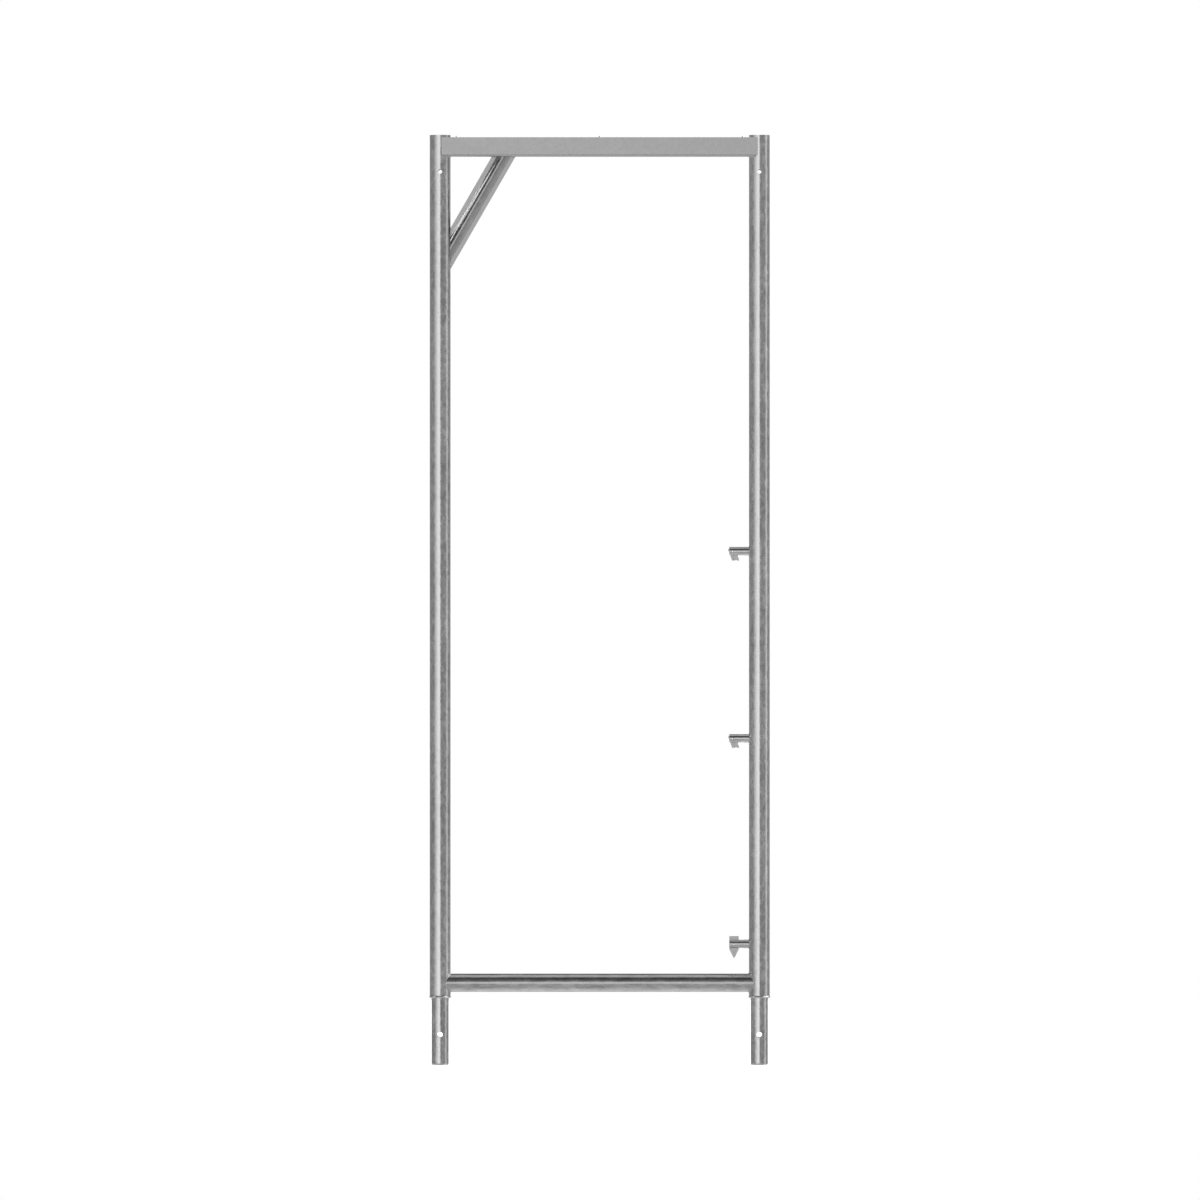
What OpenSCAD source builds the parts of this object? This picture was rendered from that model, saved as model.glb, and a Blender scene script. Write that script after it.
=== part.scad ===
// Scaffold frame section: two standards with spigots below and open sockets above, joined by a
// U channel that carries the decks and by a round bottom transom, with one corner brace, two
// guardrail pins and a toe-board pin whose latches hang in slots.
//
// Millimetres, +Z up. The origin is midway between the standards, level with the spigots' lower
// ends. The front of the frame looks along -Y, and the guardrail pins are on the +X standard.

/* [Frame] */
// Height of one lift, from the spigot shoulder to the top of the standards
lift_height = 2000; // [1500:50:2500]
// Distance between the axes of the two standards
frame_width = 740; // [600:10:1100]
// Outside diameter of the standards
tube_d = 48.3; // [48.3]
// Wall thickness of the standards
tube_wall = 3.2; // [2.7:0.1:3.2]

/* [Spigots] */
// Outside diameter of a spigot
spigot_d = 40; // [38:0.5:40.5]
// Wall thickness of a spigot
spigot_wall = 4; // [3:0.5:5]
// Length of spigot below the shoulder
spigot_out = 155; // [120:5:200]
// Length of spigot inside the standard
spigot_in = 100; // [60:10:140]
// Diameter of the cross hole in a spigot
spigot_hole_d = 13; // [11:0.5:14]
// Diameter of the cross hole near the top of a standard
socket_hole_d = 10; // [9:0.5:12]
// Distance of both cross holes from the joint between two frames
hole_offset = 85; // [70:5:100]

/* [Foot collars] */
// Outside diameter of the ring between spigot and standard
collar_d = 50.3; // [49.3:0.5:54.3]
// Height of that ring
collar_height = 5.3; // [4:0.1:8]

/* [Top channel] */
// Height of the U channel
channel_height = 44; // [36:1:60]
// Thickness of the channel's steel
channel_wall = 3; // [2.5:0.5:4]
// Outside radius of its two bends
channel_bend = 4.5; // [3.5:0.5:6]
// Drop of the channel's lips below the top of the standards
channel_drop = 5.6; // [2:0.1:15]

/* [Bottom transom] */
// Outside diameter of the bottom transom
transom_d = 42.4; // [33.7,38,42.4]
// Its wall thickness
transom_wall = 2.6; // [2:0.1:3.2]
// Height of its axis above the shoulder
transom_rise = 35; // [30:5:100]

/* [Corner brace] */
// Angle of the brace from horizontal
brace_angle = 60; // [50:5:65]
// Distance below the channel at which the brace's line meets the standard's axis
brace_drop = 255; // [200:5:350]
// Width of the brace across its two flanges
brace_width = 47.8; // [40:0.2:56]
// Outside radius of its half-round crown
brace_crown_r = 14.5; // [12:0.5:16]
// Thickness of its steel
brace_wall = 3; // [2:0.5:3]

/* [Deck studs] */
// Diameter of a stud's shank
stud_d = 14; // [12:1:18]
// Distance from the middle stud to each outer stud
stud_pitch = 331.8; // [250:0.1:331.8]
// Height of a stud's tip above the channel's lips
stud_proud = 3.5; // [1:0.5:10]

/* [Guardrail and toe-board pins] */
// Diameter of a pin's seat
pin_d = 20; // [20]
// Diameter of its slotted nose
nose_d = 19.6; // [19.4:0.1:19.8]
// Length of a pin from the standard's surface to its end
pin_length = 45.5; // [45:0.5:60]
// Height of the toe-board pin above the shoulder
toeboard_pin_rise = 125; // [100:5:200]
// Height of the middle guardrail pin above the shoulder
middle_pin_rise = 601.5; // [450:0.5:650]
// Height of the upper guardrail pin above the shoulder
upper_pin_rise = 1035.5; // [950:0.5:1150]

/* [Latches] */
// Thickness of a latch plate
latch_thick = 4; // [3:0.5:4]
// Width of the slot that it swings in
slot_width = 4.8; // [4.6:0.1:5]
// Outside diameter of a hollow pivot pin
pivot_d = 5; // [4:0.5:5]
// Lean of a guardrail latch from vertical, at rest
latch_lean = 18.6; // [18.6]

/* [Hidden] */
$fn = 96;
steel = [0.66, 0.68, 0.69];
weld_steel = [0.58, 0.60, 0.61];

tube_r = tube_d / 2;
axis_x = frame_width / 2;
shoulder_z = spigot_out;
top_z = shoulder_z + lift_height;
past = 1;

// Spigot and socket
// The standard's lower end is reamed out for the spigot's upper part
bore_r = tube_r - tube_wall;
spigot_ream = 0.35;
spigot_seat_gap = 0.05;
spigot_seat_r = bore_r + spigot_ream - spigot_seat_gap;
spigot_top_z = shoulder_z + spigot_in;
spigot_chamfer = [1.6, 3.7];

// Top channel
lip_z = top_z - channel_drop;
channel_z = lip_z - channel_height;
floor_z = channel_z + channel_wall;
channel_inset = 4;

// Bottom transom
transom_z = shoulder_z + transom_rise;

// Corner brace: its section is drawn with the flanges at the back
brace_back_y = 7;
brace_foot_z = channel_z - brace_drop;
brace_head_x = -axis_x + brace_drop / tan(brace_angle);

// Deck studs
stud_root_r = stud_d / 2 - 0.2;
stud_root_height = 3.2;
stud_nose_height = 18;
stud_tip_r = 2.5;
stud_weld_leg = 3.1;

// Pins: the seat lies between the slot's end and the weld
pin_end_x = axis_x - tube_r - pin_length;
slot_end_x = pin_end_x + 33.7;
seat_x = slot_end_x + 0.5;
seat_length = 7.5;
pin_root_r = pin_d / 2 - 0.4;
pin_chamfer = 0.8;
pin_weld_r = 1.5;

// Pivots and latches, measured from the pin's end and axis
guardrail_pivot_x = pin_end_x + 7.6;
toeboard_pivot_x = pin_end_x + 11;
pivot_drop = 1;
pivot_bore_d = 3;
pivot_length = 18.6;
pivot_slit = 0.8;
latch_hole_gap = 0.08;
slot_roof = 7.6;

upper_pin_z = shoulder_z + upper_pin_rise;
middle_pin_z = shoulder_z + middle_pin_rise;
toeboard_pin_z = shoulder_z + toeboard_pin_rise;

// Guardrail latch, from its pivot: stop against the slot's roof, heel, body and fish-tail foot
head_r = slot_roof + pivot_drop - 0.1;
latch_edge = head_r - 0.2;
latch_foot = 20.8;
heel_x = 10;

// Toe-board latch, from its pivot
toe_half = 10.9;
toe_top = 19;
toe_side = 11.6;
toe_tip = 30.9;

// Brace and channel welds
weld_r = 1.8;
channel_weld_turn = 144;
transom_weld_r = 1.8;
weld_rings = 32;
weld_sides = 6;

// ---------- shapes used more than once ----------

// A cylinder along Y through the point [x, 0, z]
module cross_hole(d, x, z) {
    translate([x, 0, z])
        rotate([90, 0, 0])
            cylinder(d = d, h = tube_d + 2 * past, center = true);
}

// The space that a standard takes up, for cutting saddles
module standard_space(x) {
    translate([x, 0, -past])
        cylinder(r = tube_r, h = top_z + 2 * past);
}

// An outline in X and Z, standing at the point [x, 0, z], with its thickness along Y
module upright_plate(x, z, thick) {
    translate([x, 0, z])
        rotate([90, 0, 0])
            linear_extrude(height = thick, center = true)
                children();
}

// ---------- standards, spigots and collars ----------

module standard(x) {
    foot_z = shoulder_z + collar_height;
    color(steel)
        difference() {
            translate([x, 0, foot_z])
                cylinder(r = tube_r, h = top_z - foot_z);
            translate([x, 0, foot_z - past])
                cylinder(r = bore_r, h = top_z - foot_z + 2 * past);
            translate([x, 0, foot_z - past])
                cylinder(r = bore_r + spigot_ream, h = spigot_top_z + 5 - foot_z + past);
            cross_hole(socket_hole_d, x, top_z - hole_offset);
        }
}

module spigot(x) {
    r = spigot_d / 2;
    color(steel)
        difference() {
            translate([x, 0, 0])
                rotate_extrude()
                    polygon([[r - spigot_wall, 0], [r - spigot_chamfer[0], 0], [r, spigot_chamfer[1]],
                        [r, shoulder_z], [spigot_seat_r, shoulder_z], [spigot_seat_r, spigot_top_z],
                        [r - spigot_wall, spigot_top_z]]);
            cross_hole(spigot_hole_d, x, shoulder_z - hole_offset);
        }
}

module foot_collar(x) {
    bead_r = collar_height / 2;
    bead_x = collar_d / 2 - bead_r;
    inner_r = bore_r + spigot_ream;
    color(steel)
        translate([x, 0, shoulder_z])
            rotate_extrude()
                difference() {
                    union() {
                        square([bead_x, collar_height]);
                        translate([bead_x, bead_r])
                            circle(r = bead_r);
                    }
                    translate([0, -past])
                        square([inner_r, collar_height + 2 * past]);
                }
}

// ---------- channel, transom and brace ----------

// A box along Y and Z with its two lower edges rounded, as an outline
module channel_outline(half, bottom, top, bend) {
    translate([-half, bottom + bend])
        square([2 * half, top - bottom - bend]);
    translate([-half + bend, bottom])
        square([2 * (half - bend), top - bottom]);
    for (side = [-1, 1])
        translate([side * (half - bend), bottom + bend])
            circle(r = bend);
}

module top_channel() {
    half_length = axis_x - channel_inset;
    color(steel)
        difference() {
            translate([-half_length, 0, 0])
                rotate([90, 0, 90])
                    linear_extrude(height = 2 * half_length)
                        difference() {
                            channel_outline(tube_r, channel_z, lip_z, channel_bend);
                            channel_outline(tube_r - channel_wall, floor_z, lip_z + past,
                                channel_bend - channel_wall);
                        }
            for (side = [-1, 1])
                standard_space(side * axis_x);
        }
}

module bottom_transom() {
    color(steel)
        difference() {
            translate([-axis_x, 0, transom_z])
                rotate([0, 90, 0])
                    cylinder(d = transom_d, h = frame_width);
            translate([-axis_x - past, 0, transom_z])
                rotate([0, 90, 0])
                    cylinder(d = transom_d - 2 * transom_wall, h = frame_width + 2 * past);
            for (side = [-1, 1])
                standard_space(side * axis_x);
        }
}

// Half-round crown between two flat flanges, crown towards -Y
module brace_section() {
    flange = brace_width / 2 - brace_crown_r + brace_wall / 2;
    difference() {
        circle(r = brace_crown_r);
        circle(r = brace_crown_r - brace_wall);
        translate([-brace_width, 0])
            square([2 * brace_width, brace_width]);
    }
    for (side = [-1, 1])
        translate([side * (brace_width - flange) / 2 - flange / 2, -brace_wall])
            square([flange, brace_wall]);
}

module corner_brace() {
    reach = 2 * brace_drop;
    color(steel)
        difference() {
            translate([-axis_x, brace_back_y, brace_foot_z])
                rotate([0, 90 - brace_angle, 0])
                    linear_extrude(height = 2 * reach, center = true)
                        brace_section();
            translate([-axis_x - reach, -tube_d, channel_z])
                cube([2 * reach, 2 * tube_d, reach]);
            translate([-axis_x - reach, -tube_d, 0])
                cube([reach, 2 * tube_d, top_z]);
            standard_space(-axis_x);
        }
}

// ---------- deck studs ----------

module deck_stud(x) {
    r = stud_d / 2;
    tip = lip_z + stud_proud - floor_z;
    color(steel)
        translate([x, 0, floor_z])
            rotate_extrude()
                polygon([[0, 0], [stud_root_r, 0], [stud_root_r, stud_root_height], [r, stud_root_height],
                    [r, tip - stud_nose_height], [stud_tip_r, tip - 1], [stud_tip_r - 1, tip], [0, tip]]);
}

// ---------- pins, pivots and latches ----------

// A round bar along X, from the standard to its free end, not yet slotted
module pin_bar(z) {
    nose_r = nose_d / 2;
    seat_r = pin_d / 2;
    seat_end = seat_x + seat_length - pin_end_x;
    difference() {
        translate([pin_end_x, 0, z])
            rotate([0, 90, 0])
                rotate_extrude()
                    polygon([[0, 0], [nose_r - pin_chamfer, 0], [nose_r, pin_chamfer],
                        [nose_r, seat_x - pin_end_x], [seat_r, seat_x - pin_end_x], [seat_r, seat_end],
                        [pin_root_r, seat_end], [pin_root_r, pin_length + 5], [0, pin_length + 5]]);
        standard_space(axis_x);
    }
}

module slot_cut(z, bottom, top) {
    translate([pin_end_x - past, -slot_width / 2, z + bottom])
        cube([slot_end_x - pin_end_x + past, slot_width, top - bottom]);
}

// The slot is open below and at the bar's end, and closed above
module guardrail_pin(z) {
    color(steel)
        difference() {
            pin_bar(z);
            slot_cut(z, -pin_d, slot_roof);
            cross_hole(pivot_d, guardrail_pivot_x, z - pivot_drop);
        }
}

// The slot is open above, below and at the bar's end
module toeboard_pin(z) {
    color(steel)
        difference() {
            pin_bar(z);
            slot_cut(z, -pin_d, pin_d);
            cross_hole(pivot_d, toeboard_pivot_x, z - pivot_drop);
        }
}

// Hollow spring pin with its slit upwards
module pivot_pin(x, z) {
    color(steel)
        difference() {
            translate([x, 0, z - pivot_drop])
                rotate([90, 0, 0])
                    cylinder(d = pivot_d, h = pivot_length, center = true);
            cross_hole(pivot_bore_d, x, z - pivot_drop);
            translate([x - pivot_slit / 2, -pivot_length, z - pivot_drop])
                cube([pivot_slit, 2 * pivot_length, pivot_d]);
        }
}

// A point on the latch's front edge, a given way down from level with its pivot
function latch_edge_point(down) =
    [(latch_edge + down * sin(latch_lean)) / cos(latch_lean), -down];

module guardrail_latch(z) {
    start = latch_lean + 6;
    head = [for (a = [start : (90 - start) / 6 : 90.01]) head_r * [cos(a), sin(a)]];
    heel = [[-4.5, head_r], [-heel_x, 5.6], [-heel_x, 2.8], [-7.9, -0.6], [-5.2, -8.5]];
    foot = [[-1.2, -latch_foot], [5.6, -latch_foot], [8.1, 1.6 - latch_foot], [10.6, -latch_foot],
        latch_edge_point(latch_foot) - [0.8, 0], latch_edge_point(latch_foot - 0.8)];
    color(steel)
        upright_plate(guardrail_pivot_x, z - pivot_drop, latch_thick)
            difference() {
                polygon(concat(head, heel, foot));
                circle(r = pivot_d / 2 + latch_hole_gap);
            }
}

module toeboard_latch(z) {
    color(steel)
        upright_plate(toeboard_pivot_x, z - pivot_drop, latch_thick)
            difference() {
                polygon([[-toe_half, toe_top], [toe_half, toe_top], [toe_half, -toe_side],
                    [1.2, -toe_tip], [-1.2, -toe_tip], [-toe_half, -toe_side]]);
                circle(r = pivot_d / 2 + latch_hole_gap);
            }
}

// ---------- welds ----------

// Half-round bead under the channel, where its floor meets a standard
module channel_weld(side) {
    color(weld_steel)
        translate([side * axis_x, 0, channel_z])
            rotate([0, 0, side < 0 ? -channel_weld_turn / 2 : 180 - channel_weld_turn / 2])
                rotate_extrude(angle = channel_weld_turn)
                    translate([tube_r, 0])
                        circle(r = weld_r, $fn = 32);
}

// Distance from a standard's axis to its surface, at angle a round a bar of radius r that meets it
function saddle_x(a, r) = sqrt(pow(tube_r, 2) - pow(r * cos(a), 2));

// Bead of radius b round a bar of radius r, where the bar runs into a standard's inner side
module saddle_weld(side, r, b, z) {
    points = [for (i = [0 : weld_rings - 1], j = [0 : weld_sides - 1])
        let (a = i * 360 / weld_rings, c = j * 360 / weld_sides, ring = r + b * cos(c))
        [side * (axis_x - saddle_x(a, r) - b * sin(c)), ring * cos(a), z + ring * sin(a)]];
    faces = [for (i = [0 : weld_rings - 1], j = [0 : weld_sides - 1])
        let (ni = (i + 1) % weld_rings, nj = (j + 1) % weld_sides,
            quad = [i * weld_sides + j, i * weld_sides + nj, ni * weld_sides + nj, ni * weld_sides + j])
        side > 0 ? quad : [quad[3], quad[2], quad[1], quad[0]]];
    color(weld_steel)
        polyhedron(points, faces);
}

module transom_weld(side) {
    saddle_weld(side, transom_d / 2, transom_weld_r, transom_z);
}

// Beads along the brace's flanges, behind and in front
module brace_weld_upper() {
    half = brace_width / 2 / sin(brace_angle);
    front = 9;
    color(weld_steel)
        translate([brace_head_x, brace_back_y, channel_z]) {
            translate([-half, 0, 0])
                rotate([0, 90, 0])
                    cylinder(r = weld_r, h = 2 * half, $fn = 32);
            for (side = [-1, 1])
                translate([side * (half - front / 2) - front / 2, -brace_wall, 0])
                    rotate([0, 90, 0])
                        cylinder(r = weld_r, h = front, $fn = 32);
        }
}

module brace_weld_lower() {
    half = brace_width / 2 / cos(brace_angle);
    front = 16;
    back_x = sqrt(pow(tube_r, 2) - pow(brace_back_y, 2));
    front_y = brace_back_y - brace_wall;
    front_x = sqrt(pow(tube_r, 2) - pow(front_y, 2));
    middle_z = brace_foot_z + tube_r * tan(brace_angle);
    color(weld_steel) {
        translate([-axis_x + back_x, brace_back_y, middle_z - half])
            cylinder(r = weld_r, h = 2 * half, $fn = 32);
        for (side = [-1, 1])
            translate([-axis_x + front_x, front_y, middle_z + side * (half - front / 2) - front / 2])
                cylinder(r = weld_r, h = front, $fn = 32);
    }
}

module pin_weld(z) {
    saddle_weld(1, pin_root_r, pin_weld_r, z);
}

module stud_welds() {
    color(weld_steel)
        for (i = [-1 : 1])
            translate([i * stud_pitch, 0, floor_z])
                rotate_extrude()
                    polygon([[stud_root_r, 0], [stud_root_r + stud_weld_leg, 0],
                        [stud_root_r, stud_weld_leg]]);
}

// ---------- assembly ----------

standard(-axis_x);  // standard_left
standard(axis_x);  // standard_right
spigot(-axis_x);  // spigot_left
spigot(axis_x);  // spigot_right
foot_collar(-axis_x);  // foot_collar_left
foot_collar(axis_x);  // foot_collar_right
top_channel();
bottom_transom();
corner_brace();
deck_stud(-stud_pitch);  // deck_stud_left
deck_stud(0);  // deck_stud_centre
deck_stud(stud_pitch);  // deck_stud_right
guardrail_pin(upper_pin_z);  // guardrail_pin_upper
guardrail_pin(middle_pin_z);  // guardrail_pin_middle
toeboard_pin(toeboard_pin_z);
guardrail_latch(upper_pin_z);  // guardrail_latch_upper
guardrail_latch(middle_pin_z);  // guardrail_latch_middle
toeboard_latch(toeboard_pin_z);
pivot_pin(guardrail_pivot_x, upper_pin_z);  // pivot_pin_upper
pivot_pin(guardrail_pivot_x, middle_pin_z);  // pivot_pin_middle
pivot_pin(toeboard_pivot_x, toeboard_pin_z);  // pivot_pin_toeboard
channel_weld(-1);  // channel_weld_left
channel_weld(1);  // channel_weld_right
transom_weld(-1);  // transom_weld_left
transom_weld(1);  // transom_weld_right
brace_weld_upper();
brace_weld_lower();
pin_weld(upper_pin_z);  // pin_weld_upper
pin_weld(middle_pin_z);  // pin_weld_middle
pin_weld(toeboard_pin_z);  // pin_weld_toeboard
stud_welds();
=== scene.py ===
# %% [markdown]
# # A galvanised scaffold frame
#
# Two tubes stand upright, and everything else on the frame is welded to them: a U channel that
# carries the decks, a round transom near the ground, one corner brace, and three slotted bars
# that hold guardrails and a toe board. The whole frame is welded in bare steel and then dipped
# in molten zinc, so one skin of zinc covers tubes, plates and weld beads alike.
#
# The shapes and sizes are already fixed by the engineering model. This script loads that model,
# gives each piece the finish and the small roundings of the real thing, lays the weld beads,
# and sets up the light and the camera.

# %% Load the frame
import math

import bmesh
import bpy
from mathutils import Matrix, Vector


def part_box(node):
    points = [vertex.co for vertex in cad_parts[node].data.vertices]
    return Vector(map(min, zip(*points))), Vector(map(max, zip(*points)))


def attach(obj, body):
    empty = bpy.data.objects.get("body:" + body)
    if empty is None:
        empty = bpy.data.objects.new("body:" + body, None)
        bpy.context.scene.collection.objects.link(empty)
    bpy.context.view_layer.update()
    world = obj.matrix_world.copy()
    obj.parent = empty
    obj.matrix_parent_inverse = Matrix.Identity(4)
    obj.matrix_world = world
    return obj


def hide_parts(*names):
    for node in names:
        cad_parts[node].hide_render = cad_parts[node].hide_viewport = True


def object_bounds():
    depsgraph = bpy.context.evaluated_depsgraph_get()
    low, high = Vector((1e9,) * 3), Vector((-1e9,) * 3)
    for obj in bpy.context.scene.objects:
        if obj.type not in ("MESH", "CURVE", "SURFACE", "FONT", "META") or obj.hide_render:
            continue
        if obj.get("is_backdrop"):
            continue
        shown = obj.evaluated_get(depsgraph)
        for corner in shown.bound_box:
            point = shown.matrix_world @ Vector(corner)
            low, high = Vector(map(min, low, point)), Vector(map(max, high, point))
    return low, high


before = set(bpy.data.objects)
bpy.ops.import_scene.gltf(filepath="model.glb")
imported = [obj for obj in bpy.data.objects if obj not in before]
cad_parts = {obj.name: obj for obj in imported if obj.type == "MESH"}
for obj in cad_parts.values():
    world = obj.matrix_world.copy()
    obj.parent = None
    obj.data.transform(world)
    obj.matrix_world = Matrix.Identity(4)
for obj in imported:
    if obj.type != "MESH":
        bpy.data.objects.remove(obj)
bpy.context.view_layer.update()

# %% [markdown]
# ## Measure before making
#
# On a real frame a fitter measures from the tubes. The same habit helps here: the axes, the
# radii and the heights come from the loaded pieces, so a change of size in the engineering model
# carries through. Lengths are in metres, and `MM` makes small sizes easy to read.

# %% Places taken from the loaded pieces
MM = 0.001


def middle(node):
    low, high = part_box(node)
    return (low + high) / 2


def spread(node):
    low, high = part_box(node)
    return high - low


left_axis = middle("standard_left").x
right_axis = middle("standard_right").x
tube_radius = spread("standard_left").y / 2
channel_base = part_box("top_channel")[0].z
channel_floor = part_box("deck_stud_centre")[0].z
print("axes at", round(left_axis, 4), round(right_axis, 4), "tube radius", round(tube_radius, 5))

# %% [markdown]
# ## Put an object in the scene
#
# In Blender an object gives data a place, and the data is a mesh, a lamp or a camera. An object
# shows only once it is linked to a collection, so `stand` does both steps. `applied` turns an
# object with modifiers into a plain finished mesh, and takes the rough object away.

# %% Object helpers
scene = bpy.context.scene


def stand(name, data):
    made = bpy.data.objects.new(name, data)
    scene.collection.objects.link(made)
    return made


def applied(rough):
    evaluated = rough.evaluated_get(bpy.context.evaluated_depsgraph_get())
    finished = bpy.data.meshes.new_from_object(evaluated)
    bpy.data.objects.remove(rough)
    return finished


print("object helpers ready")

# %% [markdown]
# ## Camera
#
# A long lens from far away keeps upright tubes parallel, as in a catalogue picture. The camera
# stands level with the middle of the frame. With a sensor 36 mm wide, a view 2.78 m wide at
# the frame needs a distance of view * lens / sensor.

# %% Camera
LENS = 400
SENSOR = 36
VIEW_WIDTH = 2.782
CAMERA_SIDE, CAMERA_HEIGHT = 0.7 * MM, 1.0773
FARTHEST_SEEN = 200

distance = VIEW_WIDTH * LENS / SENSOR
camera_data = bpy.data.cameras.new("camera")
camera_data.lens = LENS
camera_data.sensor_width = SENSOR
camera_data.clip_end = FARTHEST_SEEN
camera = stand("camera", camera_data)
camera.location = (CAMERA_SIDE, -distance, CAMERA_HEIGHT)
camera.rotation_euler = (math.radians(90), 0, 0)
scene.camera = camera
scene.view_settings.view_transform = "Standard"
print("camera at", round(distance, 2), "m")

# %% [markdown]
# ## Small helpers for node trees
#
# Node trees in code get long if every node and link takes a line of its own. `add` makes a node
# and fills its inputs, which may be numbers or the outputs of other nodes. `calc` is one step of
# arithmetic. `stretch_range` maps one range of values to another. `blend` mixes two colours; the
# Mix node keeps inputs for every kind of data, and 6 and 7 are the two colours.

# %% Node helpers


def put(tree, socket, value):
    if isinstance(value, bpy.types.NodeSocket):
        tree.links.new(value, socket)
    elif value is not None:
        socket.default_value = value


def add(tree, kind, inputs=None, **settings):
    made = tree.nodes.new(kind)
    for key, value in settings.items():
        setattr(made, key, value)
    for key, value in (inputs or {}).items():
        put(tree, made.inputs[key], value)
    return made


def calc(tree, operation, a, b=None, c=None):
    made = add(tree, "ShaderNodeMath", operation=operation)
    for socket, value in zip(made.inputs, (a, b, c)):
        put(tree, socket, value)
    return made.outputs[0]


def stretch_range(tree, value, low, high, new_low, new_high, smooth=False):
    made = add(tree, "ShaderNodeMapRange", {
        "Value": value, "From Min": low, "From Max": high, "To Min": new_low, "To Max": new_high})
    made.interpolation_type = "SMOOTHSTEP" if smooth else "LINEAR"
    return made.outputs["Result"]


def blend(tree, factor, first, second):
    made = add(tree, "ShaderNodeMix", data_type="RGBA")
    for socket, value in ((0, factor), (6, first), (7, second)):
        put(tree, made.inputs[socket], value)
    return made.outputs[2]


print("node helpers ready")

# %% [markdown]
# ## Studio light
#
# Zinc is a metal, so it has no colour of its own to show: what you see on it is the room. In
# a studio such a frame is lit with a few large soft panels, and the rest stays dim. Here
# the room is painted straight into the world, as brightness by direction. One long panel stands
# to the left of the camera and ends sharply at the camera, so each tube gets a bright left half
# and a darker right half. A narrow panel far to the right adds a thin second line, and another
# behind the frame, a little to the left, brightens the left rims. A ceiling panel lights the
# tops, and a pale floor lights the undersides.
#
# `LEVEL` gives the brightness round the horizon, by degrees from the camera's side, to the right
# positive. `FRONT` and `BACK` give it by degrees above the horizon, for the half of the room on
# the camera's side and for the half behind the frame.

# %% Brightness tables
LEVEL = [(-180, 0.30), (-177, 0.90), (-160, 0.90), (-154, 0.28), (-110, 0.27), (-72, 0.26),
         (-54, 0.52), (-38, 0.80), (-20, 1.06), (1, 1.08), (4, 0.27), (64, 0.26), (76, 0.50),
         (84, 0.70), (94, 0.68), (101, 0.24), (130, 0.32), (180, 0.30)]
FRONT = [(-90, 0.64), (-75, 0.57), (-60, 0.46), (-45, 0.43), (-25, 0.45), (0, 0.40), (14, 0.31),
         (28, 0.17), (42, 0.10), (58, 0.05), (70, 0.09), (79, 0.48), (90, 0.60)]
BACK = [(-90, 0.64), (-66, 0.85), (-45, 0.72), (-20, 0.52), (0, 0.34), (30, 0.24), (56, 0.16),
        (64, 0.24), (72, 0.62), (90, 0.60)]
print("brightness stops:", len(LEVEL), "level,", len(FRONT), "front,", len(BACK), "back")

# %% [markdown]
# ## Turn an angle into brightness
#
# A Color Ramp node holds a table of stops along a line from 0 to 1, so `brightness_ramp` first
# squeezes -180 to 180 degrees into that line. `between` is 1 inside a range of angles and 0
# outside, with soft edges, and marks out a panel.

# %% World and its helpers
world = bpy.data.worlds.new("studio")
scene.world = world
world.use_nodes = True
sky = world.node_tree
sky.nodes.clear()


def grey(level):
    return (level, level, level, 1)


def brightness_ramp(angle, stops):
    where = calc(sky, "DIVIDE", calc(sky, "ADD", angle, 180), 360)
    made = add(sky, "ShaderNodeValToRGB", {"Fac": where})
    elements = made.color_ramp.elements
    while len(elements) > 1:
        elements.remove(elements[-1])
    elements[0].position = (stops[0][0] + 180) / 360
    elements[0].color = grey(stops[0][1])
    for degrees, level in stops[1:]:
        elements.new((degrees + 180) / 360).color = grey(level)
    return made.outputs["Color"]


def between(angle, low, high, soft):
    rise = stretch_range(sky, angle, low - soft, low + soft, 0, 1, True)
    fall = stretch_range(sky, angle, high - soft, high + soft, 1, 0, True)
    return calc(sky, "MULTIPLY", rise, fall)


print("world ready to paint")

# %% [markdown]
# ## Paint the room
#
# The tables meet where the horizon's own band ends, and where the front of the room turns into
# the back. Then come two panels above the horizon, one at each side, that draw the bright line
# on the sloping brace: the right one gets there by way of the left standard, which works as a
# mirror. A black card between the left panel and the camera puts the dark line beside it.
#
# The camera itself sees plain white in place of the room.

# %% Paint the room
SIDE_BAND = 0.15
LEVEL_BAND = (5, 16)
HEIGHT_SOFT = 3
PANELS = {  # turn from, turn to, softness, height from, height to, brightness
    "left panel": (-82, -60, 3, 21, 39, 2.4),
    "right panel": (45, 140, 3, 21, 39, 4.0),
    "black card": (-54, -14, 4, 9, 36, 0.04),
}

look = add(sky, "ShaderNodeSeparateXYZ", {
    0: add(sky, "ShaderNodeTexCoord").outputs["Generated"]})
away = calc(sky, "MULTIPLY", look.outputs[1], -1)
turn = calc(sky, "DEGREES", calc(sky, "ARCTAN2", look.outputs[0], away))
height = calc(sky, "DEGREES", calc(sky, "ARCSINE", look.outputs[2]))
facing = stretch_range(sky, away, -SIDE_BAND, SIDE_BAND, 0, 1, True)
by_height = blend(sky, facing, brightness_ramp(height, BACK), brightness_ramp(height, FRONT))
off_level = stretch_range(sky, calc(sky, "ABSOLUTE", height), *LEVEL_BAND, 0, 1, True)
room = blend(sky, off_level, brightness_ramp(turn, LEVEL), by_height)
for left, right, soft, low, high, level in PANELS.values():
    inside = calc(sky, "MULTIPLY", between(turn, left, right, soft),
                  between(height, low, high, HEIGHT_SOFT))
    room = blend(sky, inside, room, grey(level))
seen = add(sky, "ShaderNodeBackground", {"Color": grey(1), "Strength": 1})
felt = add(sky, "ShaderNodeBackground", {"Color": room, "Strength": 1})
chosen = add(sky, "ShaderNodeMixShader", {
    0: add(sky, "ShaderNodeLightPath").outputs["Is Camera Ray"],
    1: felt.outputs[0], 2: seen.outputs[0]})
add(sky, "ShaderNodeOutputWorld", {"Surface": chosen.outputs[0]})
print("world:", len(sky.nodes), "nodes,", ", ".join(PANELS))

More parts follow.
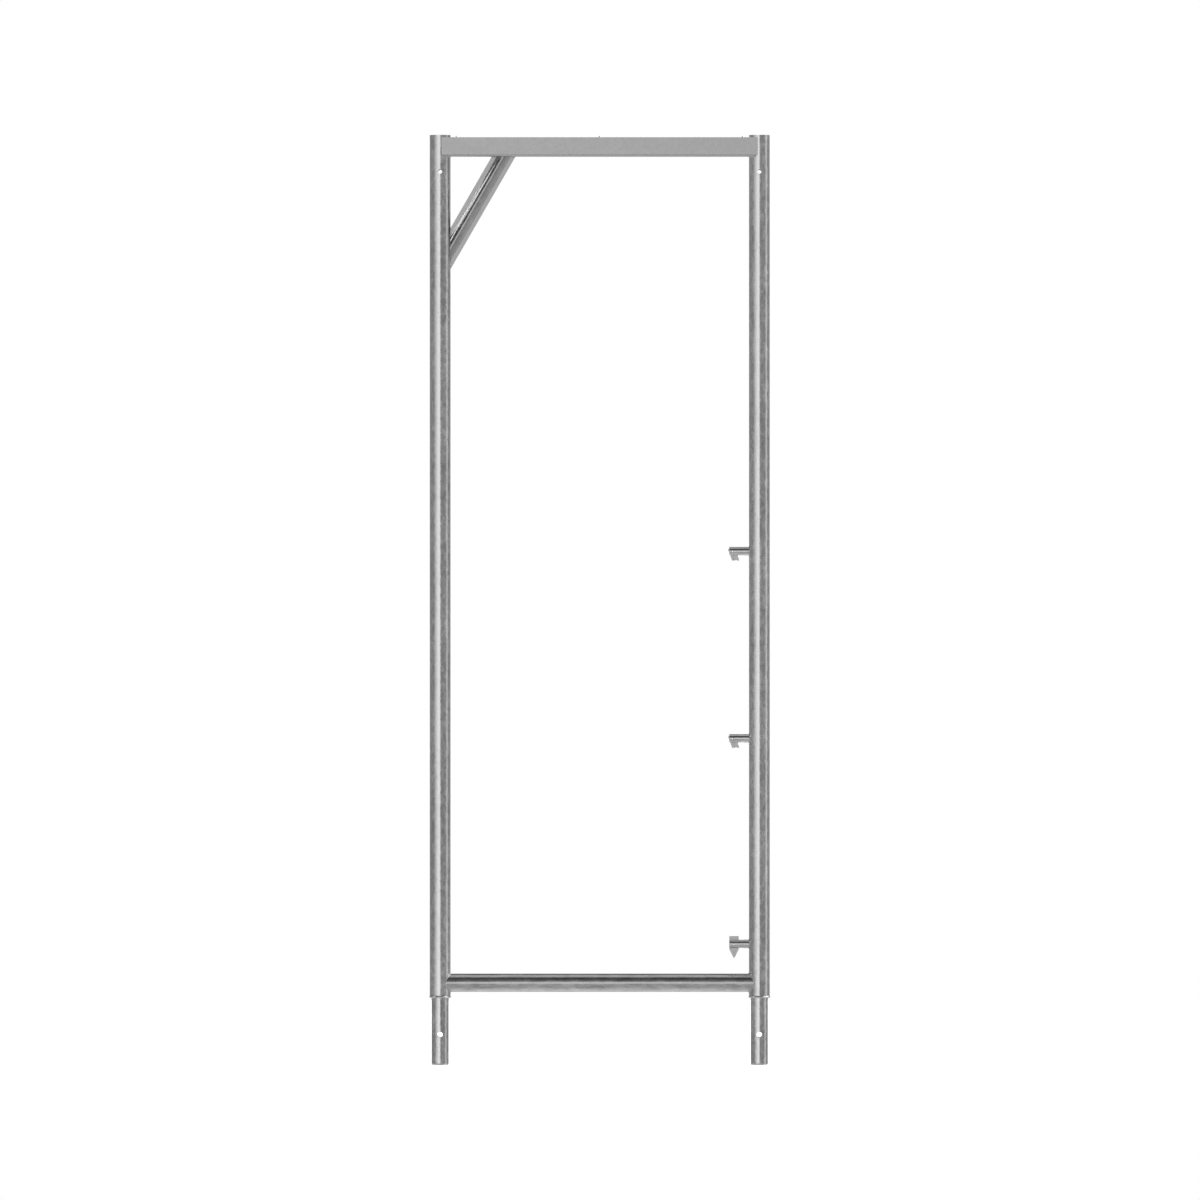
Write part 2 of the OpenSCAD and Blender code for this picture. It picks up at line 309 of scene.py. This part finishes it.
# %% [markdown]
# ## Floor
#
# The frame stands on a plain pale floor. A broad overhead light keeps the floor white and gives
# the feet a faint soft shadow. The metal shouldn't pick up that light as a hard glint, so both
# the lamp and the floor are hidden from glossy rays, and the world's own pale underside stands
# in for the floor in reflections.

# %% Floor and overhead light
FLOOR_RADIUS, FLOOR_SIDES = 5.0, 96
LAMP_STRENGTH, LAMP_SPREAD = 3.6, math.radians(90)

floor_mesh = bpy.data.meshes.new("floor")
shape = bmesh.new()
bmesh.ops.create_circle(shape, cap_ends=True, segments=FLOOR_SIDES, radius=FLOOR_RADIUS)
shape.to_mesh(floor_mesh)
shape.free()
floor = stand("floor", floor_mesh)
floor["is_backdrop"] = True
floor.visible_glossy = False
paint = bpy.data.materials.new("floor paint")
paint.use_nodes = True
matt = paint.node_tree.nodes["Principled BSDF"]
matt.inputs["Base Color"].default_value = grey(0.9)
matt.inputs["Roughness"].default_value = 1.0
matt.inputs["Specular IOR Level"].default_value = 0.0
floor_mesh.materials.append(paint)

lamp_data = bpy.data.lights.new("overhead", "SUN")
lamp_data.energy = LAMP_STRENGTH
lamp_data.angle = LAMP_SPREAD
lamp = stand("overhead", lamp_data)
lamp.visible_glossy = False
print("floor radius", FLOOR_RADIUS, "m, lamp strength", LAMP_STRENGTH)

# %% [markdown]
# ## The zinc skin
#
# Zinc leaves the bath bright, and dulls within months. As it sets it forms crystals, which show
# as a soft mottle of lighter and darker patches about a centimetre across. On a tube pulled
# upright out of the bath the patches are drawn out lengthways. Each patch also tips the surface
# a little, so reflections wander.
#
# Three noises add up to a mottle: patches, crystals (Voronoi cells) and a slow drift of tone. A
# noise seldom gets near 0 or 1, so the middle of its range is stretched to the full range
# first. The shares say how much each noise counts, and they add up to 1.

# %% Mottle
PATCH_SHARE, CRYSTAL_SHARE, DRIFT_SHARE = 0.55, 0.2, 0.25
PATCH_RANGE, DRIFT_RANGE = (0.36, 0.64), (0.38, 0.62)
CRYSTALS_PER_PATCH, DRIFTS_PER_PATCH = 1.2, 0.12


def mottled(tree, drawn, patch):
    patches = add(tree, "ShaderNodeTexNoise", {
        "Vector": drawn, "Scale": 1 / patch, "Detail": 3, "Roughness": 0.6,
        "Distortion": 0.5}).outputs[0]
    cells = add(tree, "ShaderNodeTexVoronoi", {
        "Vector": drawn, "Scale": CRYSTALS_PER_PATCH / patch, "Randomness": 1}).outputs["Color"]
    crystal = add(tree, "ShaderNodeSeparateColor", {0: cells}).outputs[0]
    drift = add(tree, "ShaderNodeTexNoise", {
        "Vector": drawn, "Scale": DRIFTS_PER_PATCH / patch, "Detail": 2}).outputs[0]
    clear_patches = stretch_range(tree, patches, *PATCH_RANGE, 0, 1)
    clear_drift = stretch_range(tree, drift, *DRIFT_RANGE, 0, 1)
    mottle = calc(tree, "MULTIPLY", clear_drift, DRIFT_SHARE)
    mottle = calc(tree, "MULTIPLY_ADD", crystal, CRYSTAL_SHARE, mottle)
    mottle = calc(tree, "MULTIPLY_ADD", clear_patches, PATCH_SHARE, mottle)
    return mottle, clear_patches, crystal


print("mottle ready")

# %% [markdown]
# ## One recipe for every piece
#
# One material recipe serves every piece, and its numbers change with the piece: the size and
# stretch of the patches, how far they differ, and how rough the metal is. The mottle drives
# colour and roughness, and its patches and crystals drive the bump too, with a fine grit on
# top, because on the real skin they have one cause. Everything reads Object coordinates, so the
# pattern stays with the piece.

# %% Zinc recipe
CRYSTAL_RELIEF, GRIT_RELIEF = 0.12, 0.10
BLUE_TINT = 1.005


def zinc(name, dark=0.56, light=0.94, patch=9 * MM, stretch=(1, 1, 1), turned=0.0,
         rough=(0.11, 0.31), relief=0.03 * MM, grain=1.2 * MM):
    material = bpy.data.materials.new(name)
    material.use_nodes = True
    tree = material.node_tree
    metal = tree.nodes["Principled BSDF"]
    place = add(tree, "ShaderNodeTexCoord").outputs["Object"]
    laid = add(tree, "ShaderNodeMapping", {"Vector": place, "Rotation": (0, turned, 0)}).outputs[0]
    drawn = add(tree, "ShaderNodeMapping", {"Vector": laid, "Scale": stretch}).outputs[0]
    mottle, patches, crystal = mottled(tree, drawn, patch)
    tone = stretch_range(tree, mottle, 0, 1, dark, light)
    colour = add(tree, "ShaderNodeCombineColor", {
        0: tone, 1: tone, 2: calc(tree, "MULTIPLY", tone, BLUE_TINT)})
    put(tree, metal.inputs["Base Color"], colour.outputs[0])
    put(tree, metal.inputs["Roughness"], stretch_range(tree, mottle, 0, 1, *rough))
    metal.inputs["Metallic"].default_value = 1.0
    grit = add(tree, "ShaderNodeTexNoise", {
        "Vector": place, "Scale": 1 / grain, "Detail": 2}).outputs[0]
    level = calc(tree, "MULTIPLY_ADD", crystal, CRYSTAL_RELIEF, patches)
    level = calc(tree, "MULTIPLY_ADD", grit, GRIT_RELIEF, level)
    bump = add(tree, "ShaderNodeBump", {"Height": level, "Distance": relief, "Strength": 1.0})
    put(tree, metal.inputs["Normal"], bump.outputs[0])
    print("zinc:", name, "patches", round(patch / MM, 1), "mm")
    return material


print("zinc recipe ready")

# %% [markdown]
# ## One finish for each kind of piece
#
# Tubes are bright with strong patches, pressed sheet is even and a little duller, and the brace's
# patches are turned to lie along it. The bars are smooth from turning. The latches and the weld
# beads are rougher, and the pivot pins are drawn spring steel, with a fine, faint pattern.

# %% Finishes
BRACE_TILT = math.radians(30)

tube_zinc = zinc("zinc on upright tubes", stretch=(1.15, 1.15, 0.55))
transom_zinc = zinc("zinc on the transom", dark=0.42, light=0.80, patch=13 * MM,
                    stretch=(0.4, 1.2, 1.2))
spigot_zinc = zinc("zinc on the spigots", stretch=(1.2, 1.2, 0.7), patch=8 * MM)
sheet_zinc = zinc("zinc on the channel", dark=0.555, light=0.63, stretch=(0.8, 1, 1),
                  rough=(0.24, 0.34), relief=0.015 * MM)
brace_zinc = zinc("zinc on the brace", dark=0.41, light=0.59, stretch=(1.1, 1.1, 0.6),
                  turned=-BRACE_TILT, rough=(0.18, 0.30), relief=0.02 * MM)
bar_zinc = zinc("zinc on the bars", dark=0.58, light=0.84, patch=5 * MM, rough=(0.06, 0.18),
                relief=0.02 * MM, grain=0.8 * MM)
plate_zinc = zinc("zinc on the latches", dark=0.60, light=0.82, patch=5 * MM, rough=(0.28, 0.46),
                  relief=0.04 * MM, grain=0.8 * MM)
pin_steel = zinc("drawn spring steel", dark=0.42, light=0.56, patch=2 * MM, rough=(0.25, 0.4),
                 relief=0.01 * MM, grain=0.3 * MM)
bead_zinc = zinc("zinc on the weld beads", dark=0.56, light=0.80, patch=4 * MM, rough=(0.30, 0.5),
                 relief=0.08 * MM, grain=0.9 * MM)

# %% [markdown]
# ## True round walls
#
# A normal says which way a surface looks, and so where it finds its reflection. A tube drawn with
# flat faces gets wavering normals after its edges are rounded. `true_round` sets them exactly:
# each point on the wall looks straight away from the tube's axis, so the tube shines like a true
# cylinder. Tiny splinters that a hole leaves in the wall could look the wrong way, so they get
# the same normals.
#
# `bend` is for a crown pressed from sheet: its foot curves out into the flange, so past that
# angle the normals swing back towards the front.

# %% True round walls
FRONT_SIDE = Vector((0, -1, 0))
ON_WALL = 0.97
SPLINTER_AREA, SPLINTER_DEPTH = 0.5 * MM ** 2, 0.03 * MM


def true_round(mesh, point, axis, bend=None):
    axis = Vector(axis).normalized()
    corner_normals = [Vector(n.vector) for n in mesh.corner_normals]
    offsets = [vertex.co - point for vertex in mesh.vertices]
    radials = [offset - axis * offset.dot(axis) for offset in offsets]
    radii = [radial.length for radial in radials]
    half_way = (min(radii) + max(radii)) / 2
    for face in mesh.polygons:
        found = [radii[vertex] for vertex in face.vertices]
        splinter = face.area < SPLINTER_AREA and max(found) - min(found) < SPLINTER_DEPTH
        for corner in face.loop_indices:
            radial = radials[mesh.loops[corner].vertex_index].normalized()
            side = face.normal.dot(radial)
            if splinter:
                side = 1 if found[0] > half_way else -1
            if abs(side) <= ON_WALL:
                continue
            from_front = radial.angle(FRONT_SIDE)
            if bend and side > 0 and from_front > bend:
                across = (radial - FRONT_SIDE * math.cos(from_front)).normalized()
                back = 2 * bend - from_front
                radial = FRONT_SIDE * math.cos(back) + across * math.sin(back)
            corner_normals[corner] = radial * (1 if side > 0 else -1)
    mesh.normals_split_custom_set(corner_normals)


print("ready to make walls round")

# %% [markdown]
# ## Soft edges
#
# A saw cut or a punched edge is never perfectly sharp after it has been cleaned and dipped: the
# zinc rounds it by up to half a millimetre. Those rounded edges catch the light as thin bright
# lines, and without them metal looks like paper.
#
# `skin` copies a loaded piece, joins its loose triangles, and rounds the edges with a Bevel
# modifier. Weighted Normal then lets the big flat faces decide how the light falls, so a flat
# side stays flat right up to its rounded edge. `applied` makes both modifiers part of a new
# mesh, and the loaded piece itself is never changed.

# %% Copy, round and finish one piece
SAME_POINT = 1e-6
SAME_PLANE = math.radians(0.4)
SHARP = math.radians(35)
BIG_FACES_LEAD = 100


def skin(node, name, material, body="frame", rounding=0.4 * MM, steps=2, axis=None,
         point=None, bend=None):
    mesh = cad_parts[node].data.copy()
    shape = bmesh.new()
    shape.from_mesh(mesh)
    bmesh.ops.remove_doubles(shape, verts=shape.verts, dist=SAME_POINT)
    bmesh.ops.dissolve_limit(shape, angle_limit=SAME_PLANE, verts=shape.verts, edges=shape.edges)
    shape.to_mesh(mesh)
    shape.free()
    mesh.shade_smooth()
    rough = stand(name + "_rough", mesh)
    bevel = rough.modifiers.new("edges", "BEVEL")
    bevel.width = rounding
    bevel.segments = steps
    bevel.limit_method = "ANGLE"
    bevel.angle_limit = SHARP
    flats = rough.modifiers.new("flats", "WEIGHTED_NORMAL")
    flats.mode = "FACE_AREA"
    flats.weight = BIG_FACES_LEAD
    finished = applied(rough)
    finished.materials.clear()
    finished.materials.append(material)
    if axis:
        true_round(finished, Vector(point or middle(node)), axis, bend)
    piece = stand(name, finished)
    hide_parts(node)
    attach(piece, body)
    print("made", name, "with", len(finished.polygons), "faces")


print("ready to finish pieces")

# %% [markdown]
# ## Tubes
#
# The two standards are plain scaffold tube, open at the top as a socket. Each spigot below is a
# smaller tube with a thicker wall. It stands out of the standard's foot, with a turned lead-in
# at its end and a rounded collar where the next frame's tube will rest. The transom is a smaller
# tube, cut to a saddle at both ends.

# %% Standards, spigots, collars and transom
UP = (0, 0, 1)
ALONG = (1, 0, 0)

for side in ("left", "right"):
    skin("standard_" + side, side + "_standard", tube_zinc,
         rounding=0.5 * MM, axis=UP)
    skin("spigot_" + side, side + "_spigot", spigot_zinc,
         rounding=0.5 * MM, axis=UP)
    skin("foot_collar_" + side, side + "_foot_collar", tube_zinc,
         rounding=0.3 * MM)
skin("bottom_transom", "transom", transom_zinc, rounding=0.3 * MM, axis=ALONG)

# %% [markdown]
# ## Channel and brace
#
# Both are pressed from flat sheet, so their faces are flat and even and their patches are faint.
# The channel lies open side up. The brace is a hat section: a half-round crown between two flat
# flanges, set at 60 degrees in the corner. The line that the crown is round about starts on the
# left standard's axis, `BRACE_DROP` below the channel.

# %% Channel and brace
BRACE_LINE = (math.sin(BRACE_TILT), 0, math.cos(BRACE_TILT))
BRACE_DROP, BRACE_BACK = 255 * MM, 7 * MM
CROWN_BEND = math.radians(53)

skin("top_channel", "deck_channel", sheet_zinc, rounding=0.5 * MM)
skin("corner_brace", "hat_brace", brace_zinc, axis=BRACE_LINE,
     point=(left_axis, BRACE_BACK, channel_base - BRACE_DROP), bend=CROWN_BEND)

# %% [markdown]
# ## Deck studs and slotted bars
#
# Three studs stand in the channel and keep the decks in place. The three bars on the right
# standard carry the guardrails and the toe board. Studs and bars are turned from round bar, so
# their edges are finer.

# %% Studs and bars
BAR_EDGE = 0.3 * MM

for place in ("left", "centre", "right"):
    skin("deck_stud_" + place, place + "_deck_stud", bar_zinc,
         rounding=BAR_EDGE, axis=UP)
for node, name in (("guardrail_pin_upper", "upper_guardrail_bar"),
                   ("guardrail_pin_middle", "middle_guardrail_bar"),
                   ("toeboard_pin", "toe_board_bar")):
    skin(node, name, bar_zinc, rounding=BAR_EDGE, axis=ALONG)

# %% [markdown]
# ## Latches and their pivots
#
# A latch is cut from flat plate and hangs in the bar's slot on a hollow spring pin. Each latch is
# the only piece on its own moving body. The pins stay with the frame.

# %% Latches and pivots
PLATE_EDGE, PIN_EDGE = 0.35 * MM, 0.12 * MM

for place in ("upper", "middle"):
    skin("guardrail_latch_" + place, place + "_gravity_latch", plate_zinc,
         body=place + "_guardrail_latch", rounding=PLATE_EDGE)
    skin("pivot_pin_" + place, place + "_pivot", pin_steel, rounding=PIN_EDGE)
skin("toeboard_latch", "toe_board_tumbler", plate_zinc,
     body="toe_board_latch", rounding=PLATE_EDGE)
skin("pivot_pin_toeboard", "toe_board_pivot", pin_steel, rounding=PIN_EDGE)

# %% [markdown]
# ## Weld beads
#
# A welder lays a bead as a row of small overlapping pools, and each pool leaves a ripple. That is
# a shape that repeats along a path, so Geometry Nodes make it: the path becomes a curve, the
# curve gets a radius that rises and falls with every pool, and a round profile is swept along
# it. A little noise keeps the hand in it. The inputs have names, so each bead can have its own
# size, and the noise has a fixed seed.
#
# `swelling` is the part of the tree that says how thick the bead is along its way. The sine of
# the distance, without its sign, gives one hump for each pool. A bead with two ends tapers
# towards both; a ring has no ends, and its taper is set to 0.

# %% Ripples and tapered ends
WANDER_SCALE = 160
THINNEST, THICKEST = 0.85, 1.12
END_SIZE = 0.12


def swelling(tree, given):
    along = add(tree, "GeometryNodeSplineParameter").outputs
    pools = calc(tree, "DIVIDE", along["Length"], given["Ripple length"])
    wave = calc(tree, "ABSOLUTE", calc(tree, "SINE", calc(tree, "MULTIPLY", pools, math.pi)))
    dip = calc(tree, "SUBTRACT", wave, 1)
    ripple = calc(tree, "MULTIPLY_ADD", dip, given["Ripple depth"], 1)
    wander = add(tree, "ShaderNodeTexNoise", {
        "W": given["Seed"], "Scale": WANDER_SCALE, "Detail": 1}, noise_dimensions="4D").outputs[0]
    uneven = stretch_range(tree, wander, 0, 1, THINNEST, THICKEST)
    to_end = calc(tree, "SUBTRACT", 1, along["Factor"])
    from_end = calc(tree, "MINIMUM", along["Factor"], to_end)
    grown = calc(tree, "MULTIPLY_ADD", from_end, given["End taper"], END_SIZE)
    taper = calc(tree, "POWER", calc(tree, "MINIMUM", 1, grown), 0.5)
    no_taper = calc(tree, "LESS_THAN", given["End taper"], 0.5)
    return calc(tree, "MULTIPLY", calc(tree, "MULTIPLY", ripple, uneven),
                calc(tree, "MAXIMUM", taper, no_taper))


print("ripples ready")

# %% [markdown]
# ## The bead tree
#
# The whole tree takes a path and gives back a finished bead. The path is cut into short equal
# steps, several to each ripple, because a sweep can change its thickness only at a step. The
# last nodes shade it smooth, make sure that it is real geometry, and set its material.

# %% Bead tree
STEPS_PER_RIPPLE = 6
PROFILE_SIDES = 12


def bead_tree():
    tree = bpy.data.node_groups.new("weld bead", "GeometryNodeTree")
    sockets = [("Path", "INPUT", "Geometry")]
    for name in ("Bead radius", "Ripple length", "Ripple depth", "End taper", "Seed"):
        sockets.append((name, "INPUT", "Float"))
    sockets += [("Finish", "INPUT", "Material"), ("Bead", "OUTPUT", "Geometry")]
    for name, way, kind in sockets:
        tree.interface.new_socket(name, in_out=way, socket_type="NodeSocket" + kind)
    given = tree.nodes.new("NodeGroupInput").outputs
    curve = add(tree, "GeometryNodeMeshToCurve", {"Mesh": given["Path"]}).outputs[0]
    fine = calc(tree, "DIVIDE", given["Ripple length"], STEPS_PER_RIPPLE)
    curve = add(tree, "GeometryNodeResampleCurve", {"Curve": curve, "Length": fine},
                mode="LENGTH").outputs[0]
    radius = swelling(tree, given)
    profile = add(tree, "GeometryNodeCurvePrimitiveCircle", {
        "Resolution": PROFILE_SIDES, "Radius": given["Bead radius"]}).outputs[0]
    solid = add(tree, "GeometryNodeCurveToMesh", {
        "Curve": curve, "Profile Curve": profile, "Scale": radius, "Fill Caps": True}).outputs[0]
    for kind, extra in (("SetShadeSmooth", {}), ("RealizeInstances", {}),
                        ("SetMaterial", {"Material": given["Finish"]})):
        solid = add(tree, "GeometryNode" + kind, {"Geometry": solid, **extra}).outputs[0]
    tree.links.new(solid, tree.nodes.new("NodeGroupOutput").inputs[0])
    return tree


BEAD = bead_tree()
print("bead tree:", len(BEAD.nodes), "nodes")

# %% [markdown]
# ## Where the beads run
#
# Each bead is given as one or more paths, and a path is a row of points with a straight edge
# between neighbours, closed or open. `row` runs straight and `ring` walks round a centre, level
# with the ground. The seam where a round bar meets a standard isn't flat: `saddle` follows the
# curve where one cylinder runs into another.

# %% Paths


def round_steps(count):
    return [2 * math.pi * i / count for i in range(count)]


def row(start, end, count=12):
    return [Vector(start).lerp(Vector(end), i / (count - 1)) for i in range(count)], False


def ring(centre, radius, count=48):
    return [centre + radius * Vector((math.cos(t), math.sin(t), 0))
            for t in round_steps(count)], True


def saddle(axis_x, inward, radius, height, count=64):
    points = []
    for t in round_steps(count):
        y = radius * math.cos(t)
        x = axis_x + inward * math.sqrt(tube_radius ** 2 - y ** 2)
        points.append(Vector((x, y, height + radius * math.sin(t))))
    return points, True


print("ready to mark out seams")

# %% [markdown]
# ## Lay a bead
#
# `lay_bead` makes a mesh of bare edges from the paths, hangs the bead tree on it as a modifier,
# and sets the tree's inputs by name. The swept tube gets its normals turned outwards before it
# becomes a piece of the frame.

# %% Lay one bead
END_TAPER = 12.0


def lay_bead(name, node, paths, radius, seed, pool=2.4 * MM, depth=0.16):
    points, edges = [], []
    for path, closed in paths:
        first = len(points)
        points += [tuple(p) for p in path]
        edges += [(first + i, first + i + 1) for i in range(len(path) - 1)]
        if closed:
            edges.append((first + len(path) - 1, first))
    mesh = bpy.data.meshes.new(name)
    mesh.from_pydata(points, edges, [])
    seam = stand(name + "_path", mesh)
    modifier = seam.modifiers.new("bead", "NODES")
    modifier.node_group = BEAD
    sizes = {"Bead radius": radius, "Ripple length": pool, "Ripple depth": depth,
             "End taper": 0.0 if paths[0][1] else END_TAPER, "Seed": float(seed),
             "Finish": bead_zinc}
    for socket in BEAD.interface.items_tree:
        if socket.in_out == "INPUT" and socket.name in sizes:
            modifier[socket.identifier] = sizes[socket.name]
    seam.update_tag()
    finished = applied(seam)
    shape = bmesh.new()
    shape.from_mesh(finished)
    bmesh.ops.recalc_face_normals(shape, faces=shape.faces)
    shape.to_mesh(finished)
    shape.free()
    bead = stand(name, finished)
    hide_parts(node)
    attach(bead, "frame")
    print("laid", name, "with", len(finished.polygons), "faces")


print("ready to weld")

# %% [markdown]
# ## Weld the channel and the transom
#
# The channel has a bead under each end, over the arc of the standard that it meets. The transom
# has a bead right round each end.

# %% Beads under the channel and round the transom
SEAM_BEAD = 1.8 * MM
ARC, ARC_STEPS = math.radians(71), 16
transom_radius = spread("bottom_transom").z / 2
transom_height = middle("bottom_transom").z

for number, side, axis_x, inward in ((0, "left", left_axis, 1), (1, "right", right_axis, -1)):
    arc = [Vector((axis_x + inward * tube_radius * math.cos(t), tube_radius * math.sin(t),
                   channel_base))
           for t in (ARC * (i / ARC_STEPS - 1) for i in range(2 * ARC_STEPS + 1))]
    lay_bead(side + "_channel_bead", "channel_weld_" + side, [(arc, False)], SEAM_BEAD, number)
    seam = saddle(axis_x, inward, transom_radius, transom_height)
    lay_bead(side + "_transom_bead", "transom_weld_" + side, [seam], SEAM_BEAD, 10 + number)

# %% [markdown]
# ## Weld the brace
#
# The brace is welded at its head, to the underside of the channel, and at its foot, to the left
# standard. Each time one long bead runs along the back edge, and two short ones along the front
# of the flanges, because the crown stands between them.

# %% Beads on the brace
BACK_EDGE, FRONT_EDGE = 7 * MM, 4 * MM
HEAD_FLANGE, FOOT_FLANGE = 9 * MM, 16 * MM

low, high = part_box("brace_weld_upper")
head = [row((start, y, channel_base), (end, y, channel_base)) for start, end, y in (
    (low.x, high.x, BACK_EDGE),
    (low.x, low.x + HEAD_FLANGE, FRONT_EDGE),
    (high.x - HEAD_FLANGE, high.x, FRONT_EDGE))]
lay_bead("brace_head_bead", "brace_weld_upper", head, SEAM_BEAD, 20)

low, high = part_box("brace_weld_lower")
foot = []
for start, end, y in ((low.z, high.z, BACK_EDGE),
                      (low.z, low.z + FOOT_FLANGE, FRONT_EDGE),
                      (high.z - FOOT_FLANGE, high.z, FRONT_EDGE)):
    x = left_axis + math.sqrt(tube_radius ** 2 - y ** 2)
    foot.append(row((x, y, start), (x, y, end)))
lay_bead("brace_foot_bead", "brace_weld_lower", foot, SEAM_BEAD, 21)

# %% [markdown]
# ## Weld the bars and the studs
#
# Each bar has a ring of weld where it enters the right standard. Each stud has one on the
# channel's floor, and the three stud rings are made as one piece.

# %% Beads round the bars and the studs
BAR_BEAD, BAR_ROOT = 1.5 * MM, 9.6 * MM
STUD_BEAD, STUD_RING, STUD_LIFT = 2.2 * MM, 7.5 * MM, 0.4 * MM

for number, place in enumerate(("upper", "middle", "toeboard")):
    seam = saddle(right_axis, -1, BAR_ROOT, middle("pin_weld_" + place).z)
    lay_bead(place + "_bar_bead", "pin_weld_" + place, [seam], BAR_BEAD, 30 + number,
             pool=2.2 * MM)
studs = []
for place in ("left", "centre", "right"):
    centre = middle("deck_stud_" + place)
    studs.append(ring(Vector((centre.x, centre.y, channel_floor + STUD_LIFT)), STUD_RING))
lay_bead("stud_beads", "stud_welds", studs, STUD_BEAD, 40, pool=2.0 * MM)

# %% [markdown]
# ## Size of the visible frame
#
# The visible frame has to be the size of the engineering model, so the box round every visible
# piece is printed here.

# %% Size of the visible frame
low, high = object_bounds()
print("visual box", [round(c, 4) for c in low], [round(c, 4) for c in high])
